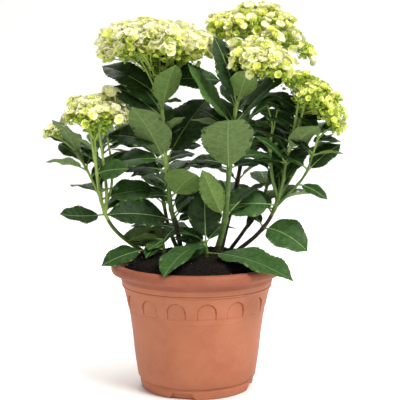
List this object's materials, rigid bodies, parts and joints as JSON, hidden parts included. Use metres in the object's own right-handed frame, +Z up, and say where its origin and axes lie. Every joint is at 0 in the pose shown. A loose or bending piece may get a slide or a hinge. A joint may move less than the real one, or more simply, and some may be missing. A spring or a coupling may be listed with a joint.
{
  "type": "potted bigleaf hydrangea",
  "caption": "Flowering shrub in a round tapered pot with a thick lip and arched niches: leafy canes that fan out, with flat-topped flower heads.",
  "frame": {"origin": "centre of the pot's flat underside", "axes": "+Z up, +X to the right when the plant is seen from its front, +Y away from the front"},
  "size_m": [0.4168, 0.2942, 0.5398],
  "materials": {
    "pot": "matt terracotta-coloured moulded plastic",
    "soil": "damp dark compost",
    "cane": "green to brown bark, a little rough",
    "foliage": "soft sheen, darker on the upper side",
    "blossom": "matt cream sepals over yellow-green buds"
  },
  "bodies": {
    "root": {"cane_back_left": "cane", "cane_back_right": "cane", "cane_centre": "cane", "cane_centre_left": "cane", "cane_far_right": "cane", "cane_left": "cane", "cane_right": "cane", "flower_head_back_left": "blossom", "flower_head_back_right": "blossom", "flower_head_centre": "blossom", "flower_head_centre_left": "blossom", "flower_head_far_left": "blossom", "flower_head_left": "blossom", "flower_head_right": "blossom", "foliage_back_left": "foliage", "foliage_back_right": "foliage", "foliage_centre": "foliage", "foliage_centre_left": "foliage", "foliage_far_right": "foliage", "foliage_left": "foliage", "foliage_low_back": "foliage", "foliage_low_front": "foliage", "foliage_low_left": "foliage", "foliage_right": "foliage", "pot": "pot", "soil": "soil"}
  },
  "joints": []
}
